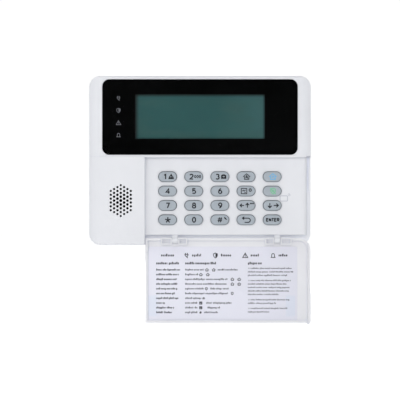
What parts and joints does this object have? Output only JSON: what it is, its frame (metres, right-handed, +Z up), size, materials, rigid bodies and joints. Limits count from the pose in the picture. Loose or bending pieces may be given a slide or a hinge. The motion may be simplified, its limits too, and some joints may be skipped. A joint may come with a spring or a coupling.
{
  "type": "alarm keypad panel",
  "caption": "Wall-mounted alarm keypad with a wide display, a sound grille, a recessed block of push keys and a hinged flip-down cover.",
  "frame": {"origin": "centre of the housing's outline, on the wall plane", "axes": "+Z up, +X to the right of a person facing the panel, +Y into the wall; the front faces -Y; the cover hangs open at rest"},
  "size_m": [0.153, 0.0245, 0.1711],
  "materials": {
    "housing_plastic": "fine moulded texture, off-white",
    "plate_plastic": "fine moulded texture, light grey-white",
    "lens_clear": "clear polished acrylic",
    "mask_black": "black back-printing",
    "foam": "closed-cell foam",
    "lcd_glass": "unlit teal-grey liquid crystal panel",
    "light_guide": "clear light-guide plastic",
    "frame_plastic": "white moulded frame",
    "ribbon": "amber flexible ribbon",
    "led": "surface-mount lamp",
    "board": "green solder mask",
    "component": "black moulded package",
    "mat_rubber": "translucent grey silicone",
    "copper": "enamelled copper winding",
    "key_rubber": "blue-grey satin silicone",
    "label": "printed self-adhesive sheet",
    "cloth": "black acoustic mesh",
    "speaker_steel": "pressed steel",
    "cone": "pressed paper and film",
    "magnet": "plated magnet and yoke",
    "wire": "insulated wire",
    "switch_plastic": "black moulded switch",
    "plunger_plastic": "white moulded plunger",
    "spring_steel": "spring wire",
    "terminal_plastic": "green moulded block",
    "screw_steel": "plated screw"
  },
  "bodies": {
    "housing": {"wall_plate": "plate_plastic", "rear_housing": "housing_plastic", "front_housing": "housing_plastic", "display_lens": "lens_clear", "lens_mask": "mask_black", "lcd_gasket": "foam", "lcd_glass": "lcd_glass", "lcd_backlight": "light_guide", "lcd_frame": "frame_plastic", "lcd_ribbon": "ribbon", "indicator_light_guide": "light_guide", "indicator_leds": "led", "main_board": "board", "board_components": "component", "keypad_mat": "mat_rubber", "reader_coil": "copper", "grille_cloth": "cloth", "speaker_gasket": "foam", "speaker_frame": "speaker_steel", "speaker_magnet": "magnet", "speaker_lead": "wire", "tamper_switch": "switch_plastic", "tamper_spring": "spring_steel", "terminal_block": "terminal_plastic", "terminal_screws": "screw_steel", "housing_screws": "screw_steel", "board_screws": "screw_steel", "plate_lock_screw": "screw_steel"},
    "cover": {"cover_flap": "housing_plastic", "cover_label": "label"},
    "key_1": {"key_1": "key_rubber"},
    "key_2": {"key_2": "key_rubber"},
    "key_3": {"key_3": "key_rubber"},
    "key_stay_arm": {"key_stay_arm": "key_rubber"},
    "key_away_arm": {"key_away_arm": "key_rubber"},
    "key_4": {"key_4": "key_rubber"},
    "key_5": {"key_5": "key_rubber"},
    "key_6": {"key_6": "key_rubber"},
    "key_bypass": {"key_bypass": "key_rubber"},
    "key_disarm": {"key_disarm": "key_rubber"},
    "key_7": {"key_7": "key_rubber"},
    "key_8": {"key_8": "key_rubber"},
    "key_9": {"key_9": "key_rubber"},
    "key_left_up": {"key_left_up": "key_rubber"},
    "key_down_right": {"key_down_right": "key_rubber"},
    "key_star": {"key_star": "key_rubber"},
    "key_0": {"key_0": "key_rubber"},
    "key_hash": {"key_hash": "key_rubber"},
    "key_back": {"key_back": "key_rubber"},
    "key_enter": {"key_enter": "key_rubber"},
    "speaker_cone": {"speaker_cone": "cone"},
    "tamper_plunger": {"tamper_plunger": "plunger_plastic"}
  },
  "joints": [
    {"name": "cover_hinge", "type": "hinge", "parent": "housing", "child": "cover", "pos_m": [0.0181, -0.019, -0.0551], "axis": [-1, 0, 0], "range_deg": [0, 180]},
    {"name": "key_1_press", "type": "slide", "parent": "housing", "child": "key_1", "axis": [0, 1, 0], "range_m": [0, 0.0012]},
    {"name": "key_2_press", "type": "slide", "parent": "housing", "child": "key_2", "axis": [0, 1, 0], "range_m": [0, 0.0012]},
    {"name": "key_3_press", "type": "slide", "parent": "housing", "child": "key_3", "axis": [0, 1, 0], "range_m": [0, 0.0012]},
    {"name": "key_stay_arm_press", "type": "slide", "parent": "housing", "child": "key_stay_arm", "axis": [0, 1, 0], "range_m": [0, 0.0012]},
    {"name": "key_away_arm_press", "type": "slide", "parent": "housing", "child": "key_away_arm", "axis": [0, 1, 0], "range_m": [0, 0.0012]},
    {"name": "key_4_press", "type": "slide", "parent": "housing", "child": "key_4", "axis": [0, 1, 0], "range_m": [0, 0.0012]},
    {"name": "key_5_press", "type": "slide", "parent": "housing", "child": "key_5", "axis": [0, 1, 0], "range_m": [0, 0.0012]},
    {"name": "key_6_press", "type": "slide", "parent": "housing", "child": "key_6", "axis": [0, 1, 0], "range_m": [0, 0.0012]},
    {"name": "key_bypass_press", "type": "slide", "parent": "housing", "child": "key_bypass", "axis": [0, 1, 0], "range_m": [0, 0.0012]},
    {"name": "key_disarm_press", "type": "slide", "parent": "housing", "child": "key_disarm", "axis": [0, 1, 0], "range_m": [0, 0.0012]},
    {"name": "key_7_press", "type": "slide", "parent": "housing", "child": "key_7", "axis": [0, 1, 0], "range_m": [0, 0.0012]},
    {"name": "key_8_press", "type": "slide", "parent": "housing", "child": "key_8", "axis": [0, 1, 0], "range_m": [0, 0.0012]},
    {"name": "key_9_press", "type": "slide", "parent": "housing", "child": "key_9", "axis": [0, 1, 0], "range_m": [0, 0.0012]},
    {"name": "key_left_up_press", "type": "slide", "parent": "housing", "child": "key_left_up", "axis": [0, 1, 0], "range_m": [0, 0.0012]},
    {"name": "key_down_right_press", "type": "slide", "parent": "housing", "child": "key_down_right", "axis": [0, 1, 0], "range_m": [0, 0.0012]},
    {"name": "key_star_press", "type": "slide", "parent": "housing", "child": "key_star", "axis": [0, 1, 0], "range_m": [0, 0.0012]},
    {"name": "key_0_press", "type": "slide", "parent": "housing", "child": "key_0", "axis": [0, 1, 0], "range_m": [0, 0.0012]},
    {"name": "key_hash_press", "type": "slide", "parent": "housing", "child": "key_hash", "axis": [0, 1, 0], "range_m": [0, 0.0012]},
    {"name": "key_back_press", "type": "slide", "parent": "housing", "child": "key_back", "axis": [0, 1, 0], "range_m": [0, 0.0012]},
    {"name": "key_enter_press", "type": "slide", "parent": "housing", "child": "key_enter", "axis": [0, 1, 0], "range_m": [0, 0.0012]},
    {"name": "tamper_release", "type": "slide", "parent": "housing", "child": "tamper_plunger", "axis": [0, 1, 0], "range_m": [0, 0.0025], "deforming": ["tamper_spring"]},
    {"name": "speaker_cone_stroke", "type": "slide", "parent": "housing", "child": "speaker_cone", "axis": [0, 1, 0], "range_m": [-0.0003, 0.0003]}
  ]
}
